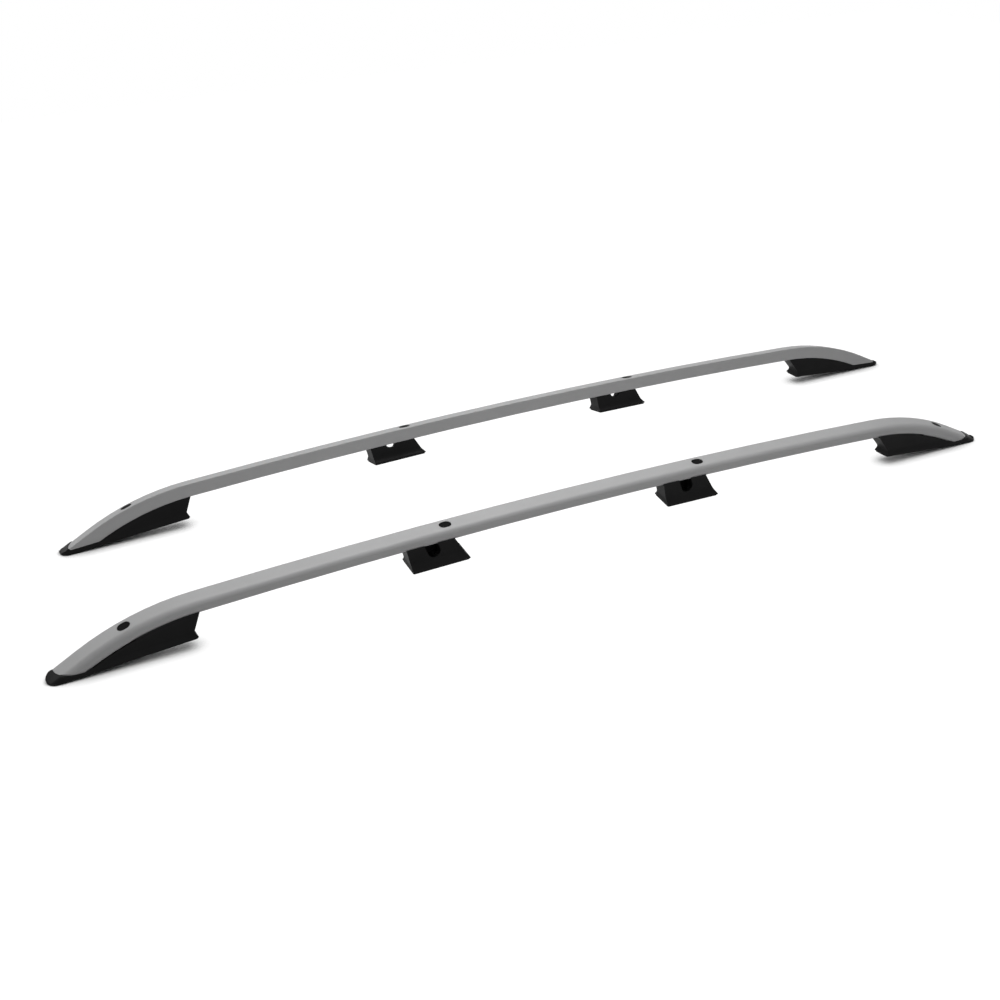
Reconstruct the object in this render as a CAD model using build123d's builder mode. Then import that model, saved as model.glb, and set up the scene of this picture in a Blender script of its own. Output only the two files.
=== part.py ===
from build123d import *
from math import asin, atan, cos, degrees, radians, sin, tan
import os

os.makedirs("parts", exist_ok=True)

# Whole pair, in millimetres and degrees, standing on the noses of its end feet
rail_length = 1996.0
rail_gap = 454.0
pair_stagger = 126.0

# Rail profile, measured from the crisp top inner edge
rail_width = 36.0
rail_height = 28.2
rail_wall = 2.5
top_fall = 9.5
shoulder_radius = 10.0
lower_outer_radius = 6.0
inner_edge_radius = 1.5

# Line of the top inner edge: a long shallow arch, then a bend and a straight nose at each end
arch_radius = 14500.0
bend_to_tip = 267.0
bend_radius = 500.0
nose_angle = 28.0
nose_height = 5.1
tongue_setback = 16.0
tongue_inner_round = 4.0
tongue_end_flat = 1.0

# Long holes in the top face, their plugs, and the line that all fixings stand on
fixing_line = 16.6
hole_length = 24.0
hole_width = 18.5
plug_depth = 9.0
plug_recess = 0.5
plug_clearance = 0.1
front_hole_setback = 141.0
front_mid_hole_x = -251.5
rear_mid_hole_x = 296.0
rear_hole_setback = 98.0

# Base lip, hollow sides and saddle shared by all feet
lip_height = 2.0
waist_height = 10.0
outer_waist_setback = 1.4
inner_waist = 1.0
waist_radius = 12.0
saddle_lip = 3.0
saddle_wall = 1.2

# End feet: nose cup, web and overhanging tail
end_inner_reach = 1.5
end_outer_reach = 2.8
roof_slope = 4.2
front_foot_length = 263.0
rear_foot_length = 247.0
front_tail_overhang = 9.0
rear_tail_overhang = 22.0
tail_height = 41.0
tail_waist_setback = 5.0
tail_waist_radius = 8.0
foot_nose_round = 17.0
cup_floor = 3.0
inner_rim_height = 9.5
outer_rim_height = 11.0
outer_rim_fall = 6.5
cup_rim_proud = 1.0
cup_inner_round = 3.0
cup_outer_round = 11.0
web_top = 52.0

# Mid feet: raked blocks with a notch for the nut
mid_inner_reach = 6.7
mid_outer_reach = 6.9
front_mid_foot_x = -289.7
rear_mid_foot_x = 256.5
mid_foot_height = 38.7
mid_foot_top_length = 98.0
mid_foot_base_length = 116.0
mid_foot_rake = 15.0
mid_foot_camber = 9.5
mid_end_hollow = 1.5
mid_end_overrun = 1.3
notch_width = 25.0
notch_depth = 26.0
notch_inner_wall = 7.0
notch_inner_depth = 9.0
nut_seat_radius = 9.0

# Pads under the feet
pad_thickness = 2.5
pad_inset = 1.0
pad_corner = 3.0
pad_hole_margin = 0.6

# Steel parts: threaded inserts, sleeves and screws
insert_radius = 7.0
insert_length = 20.0
thread_radius = 3.4
sleeve_radius = 7.0
bolt_hole_radius = 4.3
insert_to_tail = 36.0
screw_radius = 2.5
screw_head_radius = 4.8
screw_head_height = 3.2
screw_grip = 14.0
screw_clearance = 0.1

# Sizes that follow from the ones above
inner_y = rail_gap / 2
tongue_outer_round = rail_width - tongue_inner_round - tongue_end_flat
outer_waist = rail_width - outer_waist_setback
end_width = end_inner_reach + rail_width + end_outer_reach
end_middle = end_width / 2 - end_inner_reach
mid_width = mid_inner_reach + rail_width + mid_outer_reach
mid_middle = mid_width / 2 - mid_inner_reach
cut_margin = 60.0
across = Vector(0, 1, 0)
front_hole_x = front_hole_setback - rail_length / 2
rear_hole_x = rail_length / 2 - rear_hole_setback
front_insert_x = front_foot_length - insert_to_tail - rail_length / 2
rear_insert_x = rail_length / 2 - rear_foot_length + insert_to_tail

# Height of the arch over the floor, added up from the nose, the bend and the arch itself
bend_start = rail_length / 2 - bend_to_tip
arch_turn = asin(bend_start / arch_radius)
nose_turn = radians(nose_angle)
nose_run = bend_to_tip - bend_radius * (sin(nose_turn) - sin(arch_turn))
bend_fall = bend_radius * (cos(arch_turn) - cos(nose_turn))
arch_fall = arch_radius * (1 - cos(arch_turn))
crown_height = nose_height + nose_run * tan(nose_turn) + bend_fall + arch_fall

# Centres of the arch and of the two bends
arch_centre = Vector(0, crown_height - arch_radius)
bend_reach = arch_radius - bend_radius
front_centre = arch_centre + Vector(-bend_reach * sin(arch_turn), bend_reach * cos(arch_turn))
rear_centre = arch_centre + Vector(bend_reach * sin(arch_turn), bend_reach * cos(arch_turn))


# Plane on the top inner edge at a given place: x along the rail, y outward, z away from the roof
def crest_plane(x):
    centre, radius = arch_centre, arch_radius
    if x < -bend_start:
        centre, radius = front_centre, bend_radius
    if x > bend_start:
        centre, radius = rear_centre, bend_radius
    turn = asin((x - centre.X) / radius)
    spot = (x, inner_y, centre.Y + radius * cos(turn))
    return Plane(origin=spot, x_dir=(cos(turn), 0, -sin(turn)), z_dir=(sin(turn), 0, cos(turn)))


# Straight nose from the end of a bend to the end of the rail
def nose_points(sign, centre):
    start = centre + Vector(sign * bend_radius * sin(nose_turn), bend_radius * cos(nose_turn))
    return start, start + Vector(sign * nose_run, -nose_run * tan(nose_turn))


front_nose, front_end = nose_points(-1, front_centre)
rear_nose, rear_end = nose_points(1, rear_centre)
arch_half = degrees(arch_turn)
bend_sweep = nose_angle - arch_half

with BuildLine(Plane.XZ.offset(-inner_y)) as crest:
    Line((front_end.X, front_end.Y), (front_nose.X, front_nose.Y))
    CenterArc((front_centre.X, front_centre.Y), bend_radius, 90 + arch_half, bend_sweep)
    CenterArc((arch_centre.X, arch_centre.Y), arch_radius, 90 - arch_half, 2 * arch_half)
    CenterArc((rear_centre.X, rear_centre.Y), bend_radius, 90 - nose_angle, bend_sweep)
    Line((rear_nose.X, rear_nose.Y), (rear_end.X, rear_end.Y))

section_plane = Plane(origin=(front_end.X, inner_y, front_end.Y), x_dir=across,
                      z_dir=(cos(nose_turn), 0, sin(nose_turn)))


# Rail outline across its length, drawn inside the outer skin by a given amount
def rail_outline(inset):
    with BuildSketch(section_plane) as outline:
        with BuildLine():
            Polyline((0, 0), (rail_width, -rail_width * tan(radians(top_fall))),
                     (rail_width, -rail_height), (0, -rail_height), close=True)
        make_face()
        fillet(outline.vertices().sort_by(Axis.X)[:2], inner_edge_radius)
        sharp_edge = [v for v in outline.vertices() if abs(v.X - rail_width) < 0.01]
        fillet(sharp_edge[0] if sharp_edge[0].Y > sharp_edge[1].Y else sharp_edge[1], shoulder_radius)
        lower = outline.vertices().sort_by(Axis.Y)[:2].sort_by(Axis.X)[-1]
        fillet(lower, lower_outer_radius)
        if inset > 0:
            offset(amount=-inset, kind=Kind.INTERSECTION, mode=Mode.REPLACE)
    return outline.sketch


# Space over the rail's underside, open to the inner side and with a given reach past the outer side
def space_above(lift, outward):
    with BuildSketch(section_plane) as space:
        with Locations(((rail_width + outward - cut_margin) / 2, cut_margin + lift - rail_height)):
            Rectangle(rail_width + outward + cut_margin, 2 * cut_margin)
    return space.sketch


# Space over the nose cups, whose rounded top stands just proud of the rail's own top
def space_over_cups():
    near = -cup_rim_proud
    far = rail_width + cup_rim_proud
    corner = Vector(near, cup_rim_proud)
    shoulder = Vector(far, cup_rim_proud - rail_width * tan(radians(top_fall)))
    with BuildSketch(section_plane) as space:
        with BuildLine():
            Polyline((near - cut_margin, -cut_margin), corner, shoulder,
                     (far + cut_margin / 2, -2 * cut_margin), (far + cut_margin / 2, cut_margin),
                     (near - cut_margin, cut_margin), close=True)
        make_face()
        fillet(space.vertices().sort_by_distance(corner)[0], cup_inner_round)
        fillet(space.vertices().sort_by_distance(shoulder)[0], cup_outer_round)
    return space.sketch


# Plan outline of the rail between its two rounded tongues
def tongue_plan():
    with BuildSketch() as plan:
        with Locations((0, inner_y + rail_width / 2)):
            Rectangle(rail_length - 2 * tongue_setback, rail_width)
        fillet(plan.vertices().sort_by(Axis.Y)[:2], tongue_inner_round)
        fillet(plan.vertices().sort_by(Axis.Y)[-2:], tongue_outer_round)
    return plan.sketch


# Roof plane under an end foot, through the pad's nose; x along the roof, y outward, z off the roof
def roof_plane(sign):
    lean = radians(roof_slope)
    tip_x = rail_length / 2 - pad_thickness * sin(lean)
    return Plane(origin=(sign * tip_x, inner_y, -pad_inset * sin(lean)),
                 x_dir=(cos(lean), 0, -sign * sin(lean)), z_dir=(sign * sin(lean), 0, cos(lean)))


front_roof = roof_plane(-1)
rear_roof = roof_plane(1)


# Height of a roof plane over the floor at a given place along the rail
def roof_height(roof, x):
    return roof.origin.Z + (x - roof.origin.X) * roof.x_dir.Z / roof.x_dir.X


# Footprint of an end foot with its round nose, drawn in by a given amount
def end_footprint(base, inward, length, inset):
    with BuildSketch(base) as plan:
        with Locations((inward * length / 2, end_middle)):
            Rectangle(length - 2 * inset, end_width - 2 * inset)
        fillet(plan.vertices().sort_by(Axis.X)[::inward][:2], foot_nose_round - inset)
        fillet(plan.vertices().sort_by(Axis.X)[::inward][-2:], pad_corner)
    return plan.sketch


# Solid skin of the whole rail
with BuildPart() as skin:
    sweep(rail_outline(0), path=crest.wire())

# Space inside the tube
with BuildPart() as bore:
    sweep(rail_outline(rail_wall), path=crest.wire())

# Spaces that the feet keep clear of: the rail's seat, the room round it, over the saddle and over the cups
with BuildPart() as channel:
    sweep(space_above(0, 0), path=crest.wire())
with BuildPart() as surround:
    sweep(space_above(0, cut_margin), path=crest.wire())
with BuildPart() as headroom:
    sweep(space_above(saddle_lip, cut_margin), path=crest.wire())
with BuildPart() as cup_space:
    sweep(space_over_cups(), path=crest.wire())

holes_x = {"front": front_hole_x, "front_mid": front_mid_hole_x,
           "rear_mid": rear_mid_hole_x, "rear": rear_hole_x}

# Rail: bent tube with tongue ends, long holes above and screw holes below
with BuildPart() as rail:
    add(skin.part)
    add(bore.part, mode=Mode.SUBTRACT)
    extrude(tongue_plan(), amount=2 * crown_height, mode=Mode.INTERSECT)
    for roof, length in ((front_roof, front_foot_length), (rear_roof, rear_foot_length)):
        with BuildSketch(roof.offset(pad_thickness + cup_floor)):
            with Locations((0, end_middle)):
                Rectangle(2 * length, 2 * end_width)
        extrude(amount=-cut_margin, mode=Mode.SUBTRACT)
    for place in holes_x.values():
        spot = crest_plane(place)
        with BuildSketch(spot):
            with Locations((0, fixing_line)):
                SlotOverall(hole_length, hole_width)
        extrude(amount=-rail_height / 2, mode=Mode.SUBTRACT)
        with BuildSketch(spot.offset(rail_wall * 2 - rail_height)):
            with Locations((0, fixing_line)):
                Circle(screw_radius + screw_clearance)
        extrude(amount=-cut_margin, mode=Mode.SUBTRACT)

pieces = {"rail": rail.part}


# Outline across a foot: base line, thin lips, and hollow sides up to the two top corners
def foot_outline(cross, inner_base, outer_base, inner_mid, outer_mid, inner_top, outer_top):
    inner_lip = inner_base + Vector(0, lip_height)
    outer_lip = outer_base + Vector(0, lip_height)
    with BuildSketch(cross) as outline:
        with BuildLine():
            Polyline(inner_lip, inner_base, outer_base, outer_lip, outer_mid, outer_top,
                     inner_top, inner_mid, close=True)
        make_face()
        fillet(outline.vertices().sort_by_distance(inner_mid)[0], waist_radius)
        fillet(outline.vertices().sort_by_distance(outer_mid)[0], waist_radius)
    return outline.sketch


# Outline of an end foot from the side, with a hollow end that hangs over towards the middle
def tail_outline(side, length, overhang):
    low = Vector(length - tail_waist_setback, waist_height)
    high = Vector(length + overhang, tail_height)
    top = low + (high - low) * ((web_top + 1 - waist_height) / (tail_height - waist_height))
    with BuildSketch(side) as outline:
        with BuildLine():
            Polyline((-1, -1), (length, -1), (length, lip_height), low, top, (-1, web_top + 1), close=True)
        make_face()
        fillet(outline.vertices().sort_by_distance(low)[0], tail_waist_radius)
    return outline.sketch


# End foot with nose cup, web and tail
def end_foot(roof, inward, length, overhang, hole_x, insert_x):
    base = roof.offset(pad_thickness)
    seat = roof.offset(pad_thickness + cup_floor)
    reach = length + 2 * cut_margin
    cross = Plane(origin=base.origin, x_dir=across, z_dir=base.x_dir)
    side = Plane(origin=base.origin, x_dir=base.x_dir * inward, z_dir=across * -inward)
    outer_top = rail_width + saddle_wall
    outline = foot_outline(cross, Vector(-end_inner_reach, 0), Vector(rail_width + end_outer_reach, 0),
                           Vector(inner_waist, waist_height), Vector(outer_waist, waist_height),
                           Vector(0, web_top), Vector(outer_top, web_top))
    with BuildPart() as pocket:
        extrude(tongue_plan(), amount=2 * crown_height)
        add(surround.part, mode=Mode.INTERSECT)
        with BuildSketch(seat):
            Rectangle(2 * reach, 4 * end_width)
        extrude(amount=2 * cut_margin, mode=Mode.INTERSECT)
    with BuildPart() as over_rims:
        for height, fall, outward in ((inner_rim_height, 0, -1), (outer_rim_height, outer_rim_fall, 1)):
            with BuildSketch(roof.offset(pad_thickness + height).rotated((0, inward * fall, 0))):
                with Locations((0, rail_width / 2 + outward * end_width)):
                    Rectangle(2 * reach, 2 * end_width)
            extrude(amount=2 * cut_margin)
    with BuildPart() as above:
        add(channel.part)
        add(headroom.part)
        add(over_rims.part, mode=Mode.INTERSECT)
    with BuildPart() as foot:
        extrude(outline, amount=inward * reach)
        extrude(end_footprint(base, inward, reach, 0), amount=web_top + 1, mode=Mode.INTERSECT)
        extrude(tail_outline(side, length, overhang), amount=end_width, both=True, mode=Mode.INTERSECT)
        add(above.part, mode=Mode.SUBTRACT)
        add(pocket.part, mode=Mode.SUBTRACT)
        add(cup_space.part, mode=Mode.SUBTRACT)
        with BuildSketch(Plane.XY.offset(roof_height(roof, insert_x) - cut_margin)):
            with Locations((insert_x, inner_y + fixing_line)):
                Circle(insert_radius)
        extrude(amount=cut_margin + insert_length, mode=Mode.SUBTRACT)
        with BuildSketch(crest_plane(hole_x).offset(-rail_height)):
            with Locations((0, fixing_line)):
                Circle(screw_radius + screw_clearance)
        extrude(amount=-screw_grip - 1, mode=Mode.SUBTRACT)
    return foot.part


# Pad under an end foot, with a hole for the insert
def end_pad(roof, inward, length, insert_x):
    with BuildPart() as pad:
        extrude(end_footprint(roof, inward, length, pad_inset), amount=pad_thickness)
        with BuildSketch(Plane.XY):
            with Locations((insert_x, inner_y + fixing_line)):
                Circle(insert_radius + pad_hole_margin)
        extrude(amount=cut_margin, mode=Mode.SUBTRACT)
    return pad.part


# Upright turned sleeve with a round hole right through
def sleeve(x, low, high, outer, inner):
    with BuildPart() as turned:
        with BuildSketch(Plane.XY.offset(low)):
            with Locations((x, inner_y + fixing_line)):
                Circle(outer)
                Circle(inner, mode=Mode.SUBTRACT)
        extrude(amount=high - low)
    return turned.part


ends = {"front": (front_roof, 1, front_foot_length, front_tail_overhang, front_hole_x, front_insert_x),
        "rear": (rear_roof, -1, rear_foot_length, rear_tail_overhang, rear_hole_x, rear_insert_x)}
for name, (roof, inward, length, overhang, hole_x, insert_x) in ends.items():
    pieces[name + "_end_foot"] = end_foot(roof, inward, length, overhang, hole_x, insert_x)
    pieces[name + "_end_pad"] = end_pad(roof, inward, length, insert_x)
    low = roof_height(roof, insert_x)
    pieces[name + "_insert"] = sleeve(insert_x, low, low + insert_length, insert_radius, thread_radius)

# Where a mid foot's fixing stands, measured along the rail from the middle of the foot's top
rake_angle = atan(mid_foot_rake / mid_foot_height)
bolt_offset = notch_depth * sin(rake_angle)


# Height of a mid foot's cambered base below the rail's underside
def base_drop(outward):
    return -mid_foot_height - tan(radians(mid_foot_camber)) * (outward - mid_middle)


# Upright axis of a mid foot's fixing: place along the rail, roof height and nut seat height
def bolt_axis(top):
    drop = base_drop(fixing_line) - pad_thickness / cos(radians(mid_foot_camber))
    low = top.from_local_coords(Vector(bolt_offset, fixing_line, drop))
    high = top.from_local_coords(Vector(bolt_offset, fixing_line, -notch_depth))
    return low.X, low.Z, high.Z


# Outline of a mid foot from the side, with hollow raked ends
def block_outline(side):
    half_top, half_base = mid_foot_top_length / 2, mid_foot_base_length / 2
    lip_z, mid_z = lip_height - mid_foot_height, waist_height - mid_foot_height
    deep = -mid_foot_height - 2 * lip_height
    share = (saddle_lip - mid_z) / (saddle_lip - lip_z)
    lip_front, lip_rear = mid_foot_rake - half_base, mid_foot_rake + half_base
    mid_front = Vector(-half_top + (lip_front + half_top) * share + mid_end_hollow, mid_z)
    mid_rear = Vector(half_top + (lip_rear - half_top) * share - mid_end_hollow, mid_z)
    top_front = mid_front + (Vector(-half_top, saddle_lip) - mid_front) * mid_end_overrun
    top_rear = mid_rear + (Vector(half_top, saddle_lip) - mid_rear) * mid_end_overrun
    with BuildSketch(side) as outline:
        with BuildLine():
            Polyline((lip_front, lip_z), (lip_front, deep), (lip_rear, deep), (lip_rear, lip_z), mid_rear,
                     top_rear, top_front, mid_front, close=True)
        make_face()
        fillet(outline.vertices().sort_by_distance(mid_front)[0], waist_radius)
        fillet(outline.vertices().sort_by_distance(mid_rear)[0], waist_radius)
    return outline.sketch


# Raked mid foot with saddle, notch and nut seat
def mid_foot(top, screw_x):
    cross = Plane(origin=top.origin, x_dir=across, z_dir=top.x_dir)
    side = Plane(origin=top.origin, x_dir=top.x_dir, z_dir=-across)
    along_base = across - top.z_dir * tan(radians(mid_foot_camber))
    mid_z = waist_height - mid_foot_height
    bolt_x, roof_z, seat_z = bolt_axis(top)
    inner, outer = -mid_inner_reach, rail_width + mid_outer_reach
    outline = foot_outline(cross, Vector(inner, base_drop(inner)), Vector(outer, base_drop(outer)),
                           Vector(inner_waist, mid_z), Vector(outer_waist, mid_z),
                           Vector(0, saddle_lip), Vector(rail_width + saddle_wall, saddle_lip))
    with BuildPart() as foot:
        extrude(outline, amount=mid_foot_base_length, both=True)
        extrude(block_outline(side.offset(-mid_middle)), amount=2 * mid_width, dir=along_base, both=True,
                mode=Mode.INTERSECT)
        add(channel.part, mode=Mode.SUBTRACT)
        with BuildSketch(side.offset(-notch_inner_wall)):
            SlotCenterToCenter(2 * notch_depth - notch_width, notch_width,
                               rotation=90 + degrees(rake_angle))
        extrude(amount=-2 * mid_width, mode=Mode.SUBTRACT)
        with BuildSketch(side):
            with Locations((0, notch_width / 2 - notch_inner_depth)):
                Circle(notch_width / 2)
        extrude(amount=2 * mid_width, both=True, mode=Mode.SUBTRACT)
        with BuildSketch(Plane.XY.offset(seat_z)):
            with Locations((bolt_x, inner_y + fixing_line)):
                Circle(nut_seat_radius)
        extrude(amount=notch_width / 2, mode=Mode.SUBTRACT)
        with BuildSketch(Plane.XY.offset(seat_z + 1)):
            with Locations((bolt_x, inner_y + fixing_line)):
                Circle(sleeve_radius)
        extrude(amount=-cut_margin, mode=Mode.SUBTRACT)
        with BuildSketch(crest_plane(screw_x).offset(-rail_height)):
            with Locations((0, fixing_line)):
                Circle(screw_radius + screw_clearance)
        extrude(amount=-screw_grip - 1, mode=Mode.SUBTRACT)
    return foot.part


# Pad under a mid foot, with a hole for the sleeve
def mid_pad(top):
    camber = radians(mid_foot_camber)
    middle = top.from_local_coords(Vector(mid_foot_rake, mid_middle, -mid_foot_height))
    base = Plane(origin=middle, x_dir=top.x_dir, z_dir=top.z_dir * cos(camber) + across * sin(camber))
    bolt_x, roof_z, seat_z = bolt_axis(top)
    with BuildPart() as pad:
        with BuildSketch(base):
            RectangleRounded(mid_foot_base_length - 2 * pad_inset,
                             mid_width / cos(camber) - 2 * pad_inset, pad_corner)
        extrude(amount=-pad_thickness)
        with BuildSketch(Plane.XY):
            with Locations((bolt_x, inner_y + fixing_line)):
                Circle(sleeve_radius + pad_hole_margin)
        extrude(amount=crown_height, mode=Mode.SUBTRACT)
    return pad.part


mids = {"front": (front_mid_foot_x, front_mid_hole_x), "rear": (rear_mid_foot_x, rear_mid_hole_x)}
for name, (foot_x, hole_x) in mids.items():
    top = crest_plane(foot_x).offset(-rail_height)
    bolt_x, roof_z, seat_z = bolt_axis(top)
    pieces[name + "_mid_foot"] = mid_foot(top, hole_x)
    pieces[name + "_mid_pad"] = mid_pad(top)
    pieces[name + "_sleeve"] = sleeve(bolt_x, roof_z, seat_z, sleeve_radius, bolt_hole_radius)


# Plug that fills a long hole just under the rail's surface
def hole_plug(x):
    with BuildPart() as plug:
        with BuildSketch(crest_plane(x)):
            with Locations((0, fixing_line)):
                SlotOverall(hole_length - 2 * plug_clearance, hole_width - 2 * plug_clearance)
        extrude(amount=-plug_depth)
        add(skin.part.moved(Location((0, 0, -plug_recess))), mode=Mode.INTERSECT)
    return plug.part


for name, x in holes_x.items():
    pieces[name + "_hole_plug"] = hole_plug(x)

# Screws that hold the rail to its feet, heads inside the tube
with BuildPart() as screws:
    for x in holes_x.values():
        with BuildSketch(crest_plane(x).offset(rail_wall - rail_height)):
            with Locations((0, fixing_line)):
                Circle(screw_head_radius)
        extrude(amount=screw_head_height)
        with BuildSketch(crest_plane(x).offset(rail_wall - rail_height)):
            with Locations((0, fixing_line)):
                Circle(screw_radius)
        extrude(amount=-rail_wall - screw_grip)
pieces["foot_screws"] = screws.part

# Both sides of the car, lying staggered: the right rail as drawn and the left one mirrored
stagger = Location((pair_stagger / 2, 0, 0))
for name, piece in pieces.items():
    with BuildPart() as right:
        add(piece.moved(stagger))
    right.part.label = "right_" + name
    export_step(right.part, "parts/right_" + name + ".step")
    with BuildPart() as left:
        mirror(piece.moved(stagger.inverse()), about=Plane.XZ)
    left.part.label = "left_" + name
    export_step(left.part, "parts/left_" + name + ".step")
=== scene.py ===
"""Looks of a pair of roof side rails: finishes, threaded inserts, camera and studio."""

import logging
import math
from dataclasses import dataclass
from enum import Enum

import bmesh
import bpy
from mathutils import Matrix, Vector

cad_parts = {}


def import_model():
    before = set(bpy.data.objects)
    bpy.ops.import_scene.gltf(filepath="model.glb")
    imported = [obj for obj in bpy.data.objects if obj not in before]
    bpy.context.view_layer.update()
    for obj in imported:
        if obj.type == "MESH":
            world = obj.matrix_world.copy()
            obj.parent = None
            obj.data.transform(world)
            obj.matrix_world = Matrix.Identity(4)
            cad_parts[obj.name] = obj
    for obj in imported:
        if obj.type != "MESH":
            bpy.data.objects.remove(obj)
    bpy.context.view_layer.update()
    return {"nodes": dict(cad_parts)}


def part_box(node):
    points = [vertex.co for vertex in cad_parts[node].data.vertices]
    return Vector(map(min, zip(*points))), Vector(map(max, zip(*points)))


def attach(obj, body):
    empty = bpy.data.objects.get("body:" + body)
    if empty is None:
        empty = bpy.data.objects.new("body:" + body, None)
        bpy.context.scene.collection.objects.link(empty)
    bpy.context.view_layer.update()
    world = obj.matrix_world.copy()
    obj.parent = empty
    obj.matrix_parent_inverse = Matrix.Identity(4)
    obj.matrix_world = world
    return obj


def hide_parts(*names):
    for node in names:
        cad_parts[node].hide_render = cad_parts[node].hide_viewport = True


LOG = logging.getLogger("roof_side_rails")
BODY = "root"
WHITE = (1.0, 1.0, 1.0, 1.0)

# Rays that soften an edge or the painted contact shadow
SOFT_SAMPLES = 3

# Values that most of a noise pattern lies between
MIDDLE_OF_NOISE = (0.3, 0.7)

# Agreement of a surface with its softened self, on a flat face and on an edge
FLAT_TO_EDGE = (1.0, 0.8)

Colour = tuple[float, float, float]
Place = tuple[float, float, float]
Range = tuple[float, float]
Socket = bpy.types.NodeSocket


class Side(Enum):
    """Side of the car that a rail is made for."""

    LEFT = "left"
    RIGHT = "right"


class End(Enum):
    """End of a rail."""

    FRONT = "front"
    REAR = "rear"


class FootKind(Enum):
    """Place of a foot between its end of the rail and the rail's middle."""

    END = "end"
    MID = "mid"


class PatternRun(Enum):
    """Way that a pattern runs over a surface, as a stretch of the surface's coordinates."""

    LINES_ALONG_RAIL = (2.5, 900.0, 900.0)
    EVEN = (1.0, 1.0, 1.0)


@dataclass(frozen=True)
class Pattern:
    """Noise pattern of a surface: cells per metre, number of finer layers and the way it runs."""

    cells: float
    layers: float
    run: PatternRun = PatternRun.EVEN


@dataclass(frozen=True)
class Relief:
    """Fine relief: depth in metres, share of it that shows, and radius of softened edges in metres."""

    depth: float
    show: float
    edge: float = 0.0


class NodeSheet:
    """Node tree with short calls to add and join nodes."""

    def __init__(self, tree: bpy.types.NodeTree) -> None:
        """Starts on an emptied tree.

        Args:
            tree: Tree of a material or of a sky.
        """
        self.tree = tree
        self.tree.nodes.clear()

    def add(self, kind: str, **values: object) -> bpy.types.Node:
        """Adds a node.

        Args:
            kind: Blender's identifier of the node.
            **values: Properties of the node, set by name.

        Returns:
            The new node.
        """
        node = self.tree.nodes.new(kind)
        for key, value in values.items():
            setattr(node, key, value)
        return node

    def join(self, start: Socket, end: Socket) -> None:
        """Links two sockets."""
        self.tree.links.new(start, end)

    def math(self, operation: str, *terms: Socket | float) -> Socket:
        """Adds a node that reckons with numbers.

        Args:
            operation: Blender's identifier of the operation.
            *terms: Sockets or plain numbers that go in.

        Returns:
            The socket with the result.
        """
        node = self.add("ShaderNodeMath", operation=operation)
        for socket, term in zip(node.inputs, terms):
            if isinstance(term, float):
                socket.default_value = term
            else:
                self.join(term, socket)
        return node.outputs[0]

    def span(self, source: Socket, taken: Range, given: Range) -> Socket:
        """Maps one range of numbers on another.

        Args:
            source: Socket with the number.
            taken: Range that the number comes in.
            given: Range that it leaves in.

        Returns:
            The socket with the mapped number.
        """
        node = self.add("ShaderNodeMapRange")
        node.inputs["From Min"].default_value, node.inputs["From Max"].default_value = taken
        node.inputs["To Min"].default_value, node.inputs["To Max"].default_value = given
        self.join(source, node.inputs["Value"])
        return node.outputs["Result"]

    def seen(self) -> Socket:
        """Marks what the camera sees, also mirrored in a surface or through one.

        Returns:
            The socket that is 1 for those rays and 0 for the others.
        """
        path = self.add("ShaderNodeLightPath").outputs
        mirrored = self.math("MAXIMUM", path["Is Glossy Ray"], path["Is Transmission Ray"])
        return self.math("MAXIMUM", path["Is Camera Ray"], mirrored)


class MaterialSheet(NodeSheet):
    """Node tree of a material, with its output."""

    def __init__(self, name: str) -> None:
        """Starts a material with nothing but an output.

        Args:
            name: Name of the material.
        """
        self.material = bpy.data.materials.new(name)
        self.material.use_nodes = True
        super().__init__(self.material.node_tree)
        self.output = self.add("ShaderNodeOutputMaterial")

    def blend(self, share: Socket, first: Colour, second: Colour) -> Socket:
        """Mixes two colours.

        Args:
            share: Socket with the share of the second colour.
            first: Colour at share 0.
            second: Colour at share 1.

        Returns:
            The socket with the mixed colour.
        """
        node = self.add("ShaderNodeMix", data_type="RGBA")
        start, end = (socket for socket in node.inputs if socket.type == "RGBA")
        start.default_value = (*first, 1.0)
        end.default_value = (*second, 1.0)
        self.join(share, node.inputs["Factor"])
        return next(socket for socket in node.outputs if socket.type == "RGBA")


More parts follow.
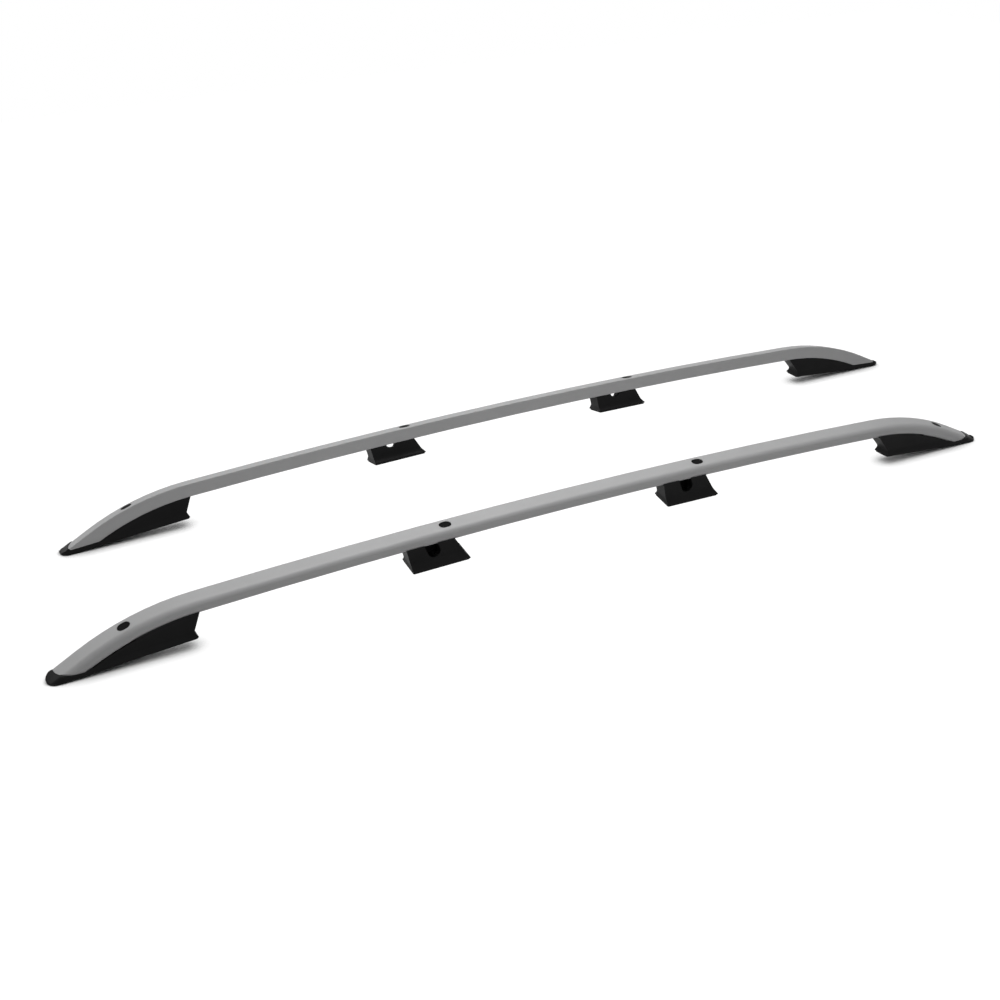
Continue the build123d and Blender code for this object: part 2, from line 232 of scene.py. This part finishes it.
class FinishSheet(MaterialSheet):
    """Node tree of a finish, with the shader that it goes to."""

    def __init__(self, name: str) -> None:
        """Starts a material with a shader.

        Args:
            name: Name of the material.
        """
        super().__init__(name)
        self.shader = self.add("ShaderNodeBsdfPrincipled")
        self.join(self.shader.outputs["BSDF"], self.output.inputs["Surface"])

    def place(self, run: PatternRun) -> Socket:
        """Gives the point of the surface in metres, stretched for a pattern.

        Args:
            run: Way that the pattern runs.

        Returns:
            The socket that carries the point.
        """
        mapping = self.add("ShaderNodeMapping")
        mapping.inputs["Scale"].default_value = run.value
        self.join(self.add("ShaderNodeTexCoord").outputs["Object"], mapping.inputs["Vector"])
        return mapping.outputs["Vector"]

    def noise(self, pattern: Pattern) -> Socket:
        """Adds a noise pattern.

        Args:
            pattern: Size, layers and run of the pattern.

        Returns:
            The socket with its strength.
        """
        node = self.add("ShaderNodeTexNoise")
        node.inputs["Scale"].default_value = pattern.cells
        node.inputs["Detail"].default_value = pattern.layers
        self.join(self.place(pattern.run), node.inputs["Vector"])
        return node.outputs["Fac"]

    def soft_normal(self, radius: float) -> Socket:
        """Gives the surface's direction with its edges rounded.

        Args:
            radius: Radius of the rounding in metres.

        Returns:
            The socket with the direction.
        """
        soft = self.add("ShaderNodeBevel", samples=SOFT_SAMPLES)
        soft.inputs["Radius"].default_value = radius
        return soft.outputs["Normal"]

    def edge_mask(self, radius: float) -> Socket:
        """Marks convex and concave edges.

        Args:
            radius: Width of the marked band in metres.

        Returns:
            The socket that is 1 on an edge and 0 on a flat face.
        """
        turn = self.add("ShaderNodeVectorMath", operation="DOT_PRODUCT")
        self.join(self.soft_normal(radius), turn.inputs[0])
        self.join(self.add("ShaderNodeNewGeometry").outputs["Normal"], turn.inputs[1])
        return self.span(turn.outputs["Value"], FLAT_TO_EDGE, (0.0, 1.0))

    def surface(self, colour: Socket, roughness: Socket, fixed: dict[str, float]) -> None:
        """Gives the shader its colour and roughness, and the numbers that are the same all over.

        Args:
            colour: Socket with the colour.
            roughness: Socket with the roughness.
            fixed: Numbers by the name of the shader's socket.
        """
        self.join(colour, self.shader.inputs["Base Color"])
        self.join(roughness, self.shader.inputs["Roughness"])
        for name, value in fixed.items():
            self.shader.inputs[name].default_value = value

    def emboss(self, height: Socket, relief: Relief) -> None:
        """Gives the surface a fine relief and, where the relief has them, softened edges.

        Args:
            height: Socket with the relief's height from 0 to 1.
            relief: Depth and edges of the relief.
        """
        bump = self.add("ShaderNodeBump")
        bump.inputs["Distance"].default_value = relief.depth
        bump.inputs["Strength"].default_value = relief.show
        self.join(height, bump.inputs["Height"])
        if relief.edge > 0.0:
            self.join(self.soft_normal(relief.edge), bump.inputs["Normal"])
        self.join(bump.outputs["Normal"], self.shader.inputs["Normal"])


@dataclass(frozen=True)
class AnodisedAluminium:
    """Satin silver skin of the drawn and bent rails."""

    name: str = "satin_anodised_aluminium"
    light: Colour = (0.400, 0.400, 0.402)
    dark: Colour = (0.362, 0.362, 0.364)
    metal: float = 0.14
    roughness: Range = (0.54, 0.64)
    lines: Pattern = Pattern(1.0, 4.0, PatternRun.LINES_ALONG_RAIL)
    clouds: Pattern = Pattern(14.0, 5.0)
    line_share: float = 0.6
    cloud_share: float = 0.4
    relief: Relief = Relief(0.00002, 0.12, 0.0008)

    def material(self) -> bpy.types.Material:
        """Makes the finish with faint lines along the rail and a cloudy tone.

        Returns:
            The material.
        """
        sheet = FinishSheet(self.name)
        lines = sheet.noise(self.lines)
        clouds = sheet.span(sheet.noise(self.clouds), MIDDLE_OF_NOISE, (0.0, self.cloud_share))
        tone = sheet.math("MULTIPLY_ADD", lines, self.line_share, clouds)
        sheet.surface(sheet.blend(tone, self.dark, self.light),
                      sheet.span(lines, MIDDLE_OF_NOISE, self.roughness), {"Metallic": self.metal})
        sheet.emboss(lines, self.relief)
        return sheet.material


@dataclass(frozen=True)
class GrainedPlastic:
    """Black moulded plastic with an eroded grain, as on the feet."""

    name: str = "grained_black_plastic"
    face: Colour = (0.0036, 0.0036, 0.0037)
    # Paler colour of the edges: a painted highlight, partly wear
    worn_and_highlit: Colour = (0.030, 0.030, 0.030)
    roughness: Range = (0.44, 0.58)
    gloss: float = 0.09
    grain: Pattern = Pattern(1500.0, 2.0)
    clouds: Pattern = Pattern(32.0, 4.0)
    # Noise band and share that make the painted edge highlight uneven, like wear
    highlight_and_wear_band: Range = (0.35, 0.65)
    highlight_and_wear_share: Range = (0.2, 1.0)
    relief: Relief = Relief(0.00006, 0.35, 0.0009)

    def material(self) -> bpy.types.Material:
        """Makes the finish with grain, cloudy gloss and edges painted paler as a highlight, unevenly as if
        worn.

        Returns:
            The material.
        """
        sheet = FinishSheet(self.name)
        clouds = sheet.noise(self.clouds)
        # Painted highlight: convex and concave edges are paled towards the edge colour, by a cloudy share
        # that varies like wear
        highlight_and_wear_share = sheet.span(clouds, self.highlight_and_wear_band, self.highlight_and_wear_share)
        edges = sheet.math("MULTIPLY", sheet.edge_mask(self.relief.edge), highlight_and_wear_share)
        sheet.surface(sheet.blend(edges, self.face, self.worn_and_highlit),
                      sheet.span(clouds, MIDDLE_OF_NOISE, self.roughness), {"Specular IOR Level": self.gloss})
        sheet.emboss(sheet.noise(self.grain), self.relief)
        return sheet.material


@dataclass(frozen=True)
class PlugPlastic:
    """Smooth black plastic of the hole plugs."""

    name: str = "smooth_plug_plastic"
    face: Colour = (0.003, 0.003, 0.003)
    scuffed: Colour = (0.006, 0.006, 0.006)
    roughness: Range = (0.44, 0.58)
    gloss: float = 0.03
    scuffs: Pattern = Pattern(260.0, 6.0)
    scuff_band: Range = (0.5, 0.75)
    relief: Relief = Relief(0.00003, 0.2, 0.0006)

    def material(self) -> bpy.types.Material:
        """Makes the finish with faint scuffs and a softened rim.

        Returns:
            The material.
        """
        sheet = FinishSheet(self.name)
        scuffs = sheet.noise(self.scuffs)
        share = sheet.span(scuffs, self.scuff_band, (0.0, 1.0))
        sheet.surface(sheet.blend(share, self.face, self.scuffed),
                      sheet.span(scuffs, MIDDLE_OF_NOISE, self.roughness), {"Specular IOR Level": self.gloss})
        sheet.emboss(scuffs, self.relief)
        return sheet.material


@dataclass(frozen=True)
class SealingRubber:
    """Dull black rubber of the pads under the feet."""

    name: str = "sealing_rubber"
    face: Colour = (0.010, 0.010, 0.010)
    dusty: Colour = (0.024, 0.024, 0.023)
    roughness: Range = (0.78, 0.92)
    gloss: float = 0.2
    dust: Pattern = Pattern(90.0, 6.0)
    dust_band: Range = (0.45, 0.7)
    skin: Pattern = Pattern(1900.0, 2.0)
    relief: Relief = Relief(0.00005, 0.4)

    def material(self) -> bpy.types.Material:
        """Makes the finish with a mottled, slightly dusty skin.

        Returns:
            The material.
        """
        sheet = FinishSheet(self.name)
        dust = sheet.noise(self.dust)
        share = sheet.span(dust, self.dust_band, (0.0, 1.0))
        sheet.surface(sheet.blend(share, self.face, self.dusty),
                      sheet.span(dust, MIDDLE_OF_NOISE, self.roughness), {"Specular IOR Level": self.gloss})
        sheet.emboss(sheet.noise(self.skin), self.relief)
        return sheet.material


@dataclass(frozen=True)
class PlatedSteel:
    """Plated steel of the inserts, sleeves and screws."""

    name: str = "zinc_plated_steel"
    bright: Colour = (0.42, 0.42, 0.41)
    dull: Colour = (0.24, 0.24, 0.235)
    roughness: Range = (0.28, 0.50)
    metal: float = 1.0
    flakes_per_metre: float = 420.0
    turning_marks: Pattern = Pattern(2200.0, 2.0)
    relief: Relief = Relief(0.00002, 0.25)

    def material(self) -> bpy.types.Material:
        """Makes the finish with the crystal flakes of plating and fine turning marks.

        Returns:
            The material.
        """
        sheet = FinishSheet(self.name)
        flakes = sheet.add("ShaderNodeTexVoronoi")
        flakes.inputs["Scale"].default_value = self.flakes_per_metre
        sheet.join(sheet.place(PatternRun.EVEN), flakes.inputs["Vector"])
        grey = sheet.add("ShaderNodeRGBToBW")
        sheet.join(flakes.outputs["Color"], grey.inputs["Color"])
        tone = grey.outputs["Val"]
        sheet.surface(sheet.blend(tone, self.dull, self.bright),
                      sheet.span(tone, (0.0, 1.0), self.roughness), {"Metallic": self.metal})
        sheet.emboss(sheet.noise(self.turning_marks), self.relief)
        return sheet.material


@dataclass(frozen=True)
class Finishes:
    """All finishes of the pair, made once and shared."""

    rail: bpy.types.Material
    foot: bpy.types.Material
    plug: bpy.types.Material
    pad: bpy.types.Material
    steel: bpy.types.Material
    dark_steel: bpy.types.Material

    @classmethod
    def make(cls) -> "Finishes":
        """Makes every finish.

        Returns:
            The finishes.
        """
        blackened = PlatedSteel(name="blackened_steel", bright=(0.030, 0.030, 0.030),
                                dull=(0.014, 0.014, 0.014), roughness=(0.38, 0.6))
        return cls(rail=AnodisedAluminium().material(), foot=GrainedPlastic().material(),
                   plug=PlugPlastic().material(), pad=SealingRubber().material(),
                   steel=PlatedSteel().material(), dark_steel=blackened.material())


@dataclass
class ThreadedInsert:
    """Steel insert with a cut thread, in the place of its plain solid. Sizes are in metres."""

    node: str
    outer_radius: float = 0.0070
    core_radius: float = 0.0034
    thread_depth: float = 0.0006
    pitch: float = 0.00125
    mouth_chamfer: float = 0.0008
    steps_round: int = 40
    rows_per_turn: int = 8

    def wall_radius(self, turn: float, height: float, length: float) -> float:
        """Gives the radius of the threaded wall at one point.

        Args:
            turn: Angle round the axis as a share of a turn.
            height: Height over the insert's lower face, in metres.
            length: Length of the insert, in metres.

        Returns:
            The radius in metres.
        """
        phase = (height / self.pitch - turn) % 1.0
        ridge = self.core_radius + self.thread_depth * (1.0 - abs(2.0 * phase - 1.0))
        from_mouth = min(height, length - height)
        chamfer = self.core_radius + self.thread_depth + self.mouth_chamfer - from_mouth
        return max(ridge, chamfer)

    @staticmethod
    def point(foot: Vector, radius: float, turn: float, height: float) -> Vector:
        """Gives a point at a radius, a share of a turn and a height over the foot of an upright axis."""
        angle = 2.0 * math.pi * turn
        return Vector((foot.x + radius * math.cos(angle), foot.y + radius * math.sin(angle), foot.z + height))

    def rings(self, foot: Vector, length: float) -> list[list[Vector]]:
        """Lists the rings of points that go up the threaded wall and down the outside.

        Args:
            foot: Middle of the insert's lower face.
            length: Length of the insert, in metres.

        Returns:
            The rings in order.
        """
        turns = [step / self.steps_round for step in range(self.steps_round)]
        rows = round(length / self.pitch * self.rows_per_turn)
        heights = [length * row / rows for row in range(rows + 1)]
        wall = [[self.point(foot, self.wall_radius(turn, height, length), turn, height) for turn in turns]
                for height in heights]
        outside = [[self.point(foot, self.outer_radius, turn, height) for turn in turns]
                   for height in (length, 0.0)]
        return wall + outside

    def mesh(self, rings: list[list[Vector]]) -> bpy.types.Mesh:
        """Skins the rings, and joins the last one to the first.

        Args:
            rings: Rings of points in order.

        Returns:
            The closed mesh.
        """
        shape = bmesh.new()
        loops = [[shape.verts.new(point) for point in ring] for ring in rings]
        for lower, upper in zip(loops, loops[1:] + loops[:1]):
            for step in range(self.steps_round):
                after = (step + 1) % self.steps_round
                shape.faces.new((lower[step], upper[step], upper[after], lower[after]))
        bmesh.ops.recalc_face_normals(shape, faces=shape.faces)
        mesh = bpy.data.meshes.new(self.node + "_threaded")
        shape.to_mesh(mesh)
        shape.free()
        return mesh

    def build(self, finish: bpy.types.Material) -> bpy.types.Object:
        """Builds the insert where its solid is.

        Args:
            finish: Material of the insert.

        Returns:
            The new object, which stands for the node.
        """
        low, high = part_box(self.node)
        middle = (low + high) / 2
        mesh = self.mesh(self.rings(Vector((middle.x, middle.y, low.z)), high.z - low.z))
        mesh.materials.append(finish)
        piece = bpy.data.objects.new(self.node + "_threaded", mesh)
        bpy.context.scene.collection.objects.link(piece)
        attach(piece, BODY)
        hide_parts(self.node)
        LOG.info("built %s with %d faces", piece.name, len(mesh.polygons))
        return piece


@dataclass
class RailAssembly:
    """One rail with its feet, pads, plugs and fixings."""

    side: Side
    nodes: dict[str, bpy.types.Object]
    finishes: Finishes

    def dress(self, short_name: str, finish: bpy.types.Material) -> None:
        """Gives a node its finish.

        Args:
            short_name: Name of the node without its side.
            finish: Material that the node gets.
        """
        node = self.nodes[f"{self.side.value}_{short_name}"]
        node.data.materials.clear()
        node.data.materials.append(finish)
        for face in node.data.polygons:
            face.material_index = 0
        LOG.info("dressed %s in %s", node.name, finish.name)

    def dress_rail(self) -> None:
        """Dresses the bent tube."""
        self.dress("rail", self.finishes.rail)

    def dress_feet(self) -> None:
        """Dresses the four feet and the pads under them."""
        for end in End:
            for kind in FootKind:
                self.dress(f"{end.value}_{kind.value}_foot", self.finishes.foot)
                self.dress(f"{end.value}_{kind.value}_pad", self.finishes.pad)

    def dress_plugs(self) -> None:
        """Dresses the plugs in the long holes."""
        for end in End:
            self.dress(f"{end.value}_hole_plug", self.finishes.plug)
            self.dress(f"{end.value}_mid_hole_plug", self.finishes.plug)

    def dress_fixings(self) -> None:
        """Dresses the screws and sleeves, and builds the inserts with their threads."""
        self.dress("foot_screws", self.finishes.steel)
        for end in End:
            self.dress(f"{end.value}_sleeve", self.finishes.dark_steel)
            ThreadedInsert(f"{self.side.value}_{end.value}_insert").build(self.finishes.steel)

    def build(self) -> None:
        """Dresses the whole assembly in order."""
        self.dress_rail()
        self.dress_feet()
        self.dress_plugs()
        self.dress_fixings()


@dataclass(frozen=True)
class PhotoCamera:
    """Camera at the photograph's viewing angle. Its place is in metres, its lens in millimetres."""

    name: str = "photo_camera"
    place: Place = (-1.32732, -2.65510, 1.35017)
    yaw: float = math.radians(25.0493)
    pitch: float = math.radians(24.6536)
    roll: float = math.radians(2.9143)
    lens: float = 56.632
    sensor: float = 36.0
    farthest: float = 200.0

    def turn(self) -> Matrix:
        """Works out the camera's turn from its three angles.

        Returns:
            The turn as a matrix.
        """
        ahead = Vector((math.sin(self.yaw) * math.cos(self.pitch), math.cos(self.yaw) * math.cos(self.pitch),
                        -math.sin(self.pitch)))
        level = Vector((math.cos(self.yaw), -math.sin(self.yaw), 0.0))
        down = ahead.cross(level)
        right = math.cos(self.roll) * level + math.sin(self.roll) * down
        under = -math.sin(self.roll) * level + math.cos(self.roll) * down
        return Matrix((right, -under, -ahead)).transposed().to_4x4()

    def build(self) -> bpy.types.Object:
        """Builds the camera and makes it the scene's own.

        Returns:
            The camera object.
        """
        data = bpy.data.cameras.new(self.name)
        data.sensor_fit = "HORIZONTAL"
        data.sensor_width = self.sensor
        data.lens = self.lens
        data.clip_end = self.farthest
        camera = bpy.data.objects.new(self.name, data)
        camera.matrix_world = Matrix.Translation(self.place) @ self.turn()
        bpy.context.scene.collection.objects.link(camera)
        bpy.context.scene.camera = camera
        LOG.info("set up %s", camera.name)
        return camera


@dataclass(frozen=True)
class Lamp:
    """Soft rectangular studio lamp. Place, aim and size are in metres, power is in watts."""

    name: str
    place: Place
    aim: Place
    size: tuple[float, float]
    power: float

    def build(self) -> bpy.types.Object:
        """Builds the lamp.

        Returns:
            The lamp object.
        """
        data = bpy.data.lights.new(self.name, "AREA")
        data.shape = "RECTANGLE"
        data.size, data.size_y = self.size
        data.energy = self.power
        lamp = bpy.data.objects.new(self.name, data)
        lamp.location = self.place
        lamp.rotation_euler = (Vector(self.aim) - Vector(self.place)).to_track_quat("-Z", "Y").to_euler()
        bpy.context.scene.collection.objects.link(lamp)
        LOG.info("set up %s", lamp.name)
        return lamp


@dataclass(frozen=True)
class Studio:
    """Pale floor, plain sky and soft lamps."""

    floor_half: float = 5.0
    floor_tone: float = 0.12
    bounce_tone: float = 0.45
    floor_glow: float = 1.0
    # Reach and occlusion range of the painted contact shadow on the floor's glow
    painted_shadow_reach: float = 0.035
    painted_shadow_dark: float = 0.44
    painted_shadow_open: float = 0.80
    sky_left: float = 0.44
    sky_right: float = 0.016
    lamps: tuple[Lamp, ...] = (
        Lamp("overhead_softbox", (0.05, 0.05, 1.8), (0.05, 0.0, 0.0), (1.6, 1.4), 24.5),
        Lamp("back_strip", (-2.35, 2.6, 2.7), (-0.4, 0.0, 0.1), (1.0, 0.8), 20.0),
        Lamp("front_fill", (0.2, -2.6, 1.0), (0.1, 0.0, 0.1), (1.6, 1.0), 5.6),
    )

    def floor_paper(self) -> bpy.types.Material:
        """Makes the floor's paper, white where the camera sees it, with the lamps' shadows and a painted
        contact shadow where ambient occlusion near the rails dims its glow.

        Returns:
            The material.
        """
        sheet = MaterialSheet("studio_floor_paper")
        seen = sheet.seen()
        paper = sheet.add("ShaderNodeBsdfDiffuse")
        unseen_grey, seen_grey = (self.bounce_tone,) * 3, (self.floor_tone,) * 3
        sheet.join(sheet.blend(seen, unseen_grey, seen_grey), paper.inputs["Color"])
        # Painted shadow: ambient occlusion near the rails dims the floor's white glow, apart from the lamps
        contact = sheet.add("ShaderNodeAmbientOcclusion", samples=SOFT_SAMPLES)
        contact.inputs["Distance"].default_value = self.painted_shadow_reach
        glow_under_painted_shadow = sheet.span(contact.outputs["AO"], (self.painted_shadow_dark, self.painted_shadow_open),
                                (0.0, self.floor_glow))
        glow = sheet.add("ShaderNodeEmission")
        glow.inputs["Color"].default_value = WHITE
        sheet.join(sheet.math("MULTIPLY", glow_under_painted_shadow, seen), glow.inputs["Strength"])
        both = sheet.add("ShaderNodeAddShader")
        sheet.join(paper.outputs["BSDF"], both.inputs[0])
        sheet.join(glow.outputs["Emission"], both.inputs[1])
        sheet.join(both.outputs["Shader"], sheet.output.inputs["Surface"])
        return sheet.material

    def build_floor(self) -> bpy.types.Object:
        """Builds the floor.

        Returns:
            The floor object.
        """
        half = self.floor_half
        mesh = bpy.data.meshes.new("studio_floor")
        mesh.from_pydata([(-half, -half, 0.0), (half, -half, 0.0), (half, half, 0.0), (-half, half, 0.0)],
                         [], [(0, 1, 2, 3)])
        mesh.materials.append(self.floor_paper())
        floor = bpy.data.objects.new("studio_floor", mesh)
        bpy.context.scene.collection.objects.link(floor)
        LOG.info("set up %s", floor.name)
        return floor

    def build_sky(self) -> bpy.types.World:
        """Builds a sky that fades from the left to the right, and that the camera sees as white.

        Returns:
            The sky.
        """
        sky = bpy.data.worlds.new("studio_sky")
        sky.use_nodes = True
        sheet = NodeSheet(sky.node_tree)
        split = sheet.add("ShaderNodeSeparateXYZ")
        sheet.join(sheet.add("ShaderNodeTexCoord").outputs["Generated"], split.inputs["Vector"])
        fade = sheet.span(split.outputs["X"], (-1.0, 1.0), (self.sky_left, self.sky_right))
        ground = sheet.add("ShaderNodeBackground")
        ground.inputs["Color"].default_value = WHITE
        sheet.join(sheet.math("MAXIMUM", fade, sheet.seen()), ground.inputs["Strength"])
        sheet.join(ground.outputs["Background"], sheet.add("ShaderNodeOutputWorld").inputs["Surface"])
        bpy.context.scene.world = sky
        LOG.info("set up %s", sky.name)
        return sky

    def build(self) -> None:
        """Builds the floor, the sky and every lamp."""
        self.build_floor()
        self.build_sky()
        for lamp in self.lamps:
            lamp.build()
        bpy.context.scene.view_settings.view_transform = "Standard"


def main() -> None:
    """Builds the pair, the camera and the studio in order."""
    logging.basicConfig(level=logging.INFO, format="%(name)s: %(message)s")
    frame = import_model()
    finishes = Finishes.make()
    for side in Side:
        RailAssembly(side, frame["nodes"], finishes).build()
    PhotoCamera().build()
    Studio().build()
    bpy.context.view_layer.update()


if __name__ == "__main__":
    main()
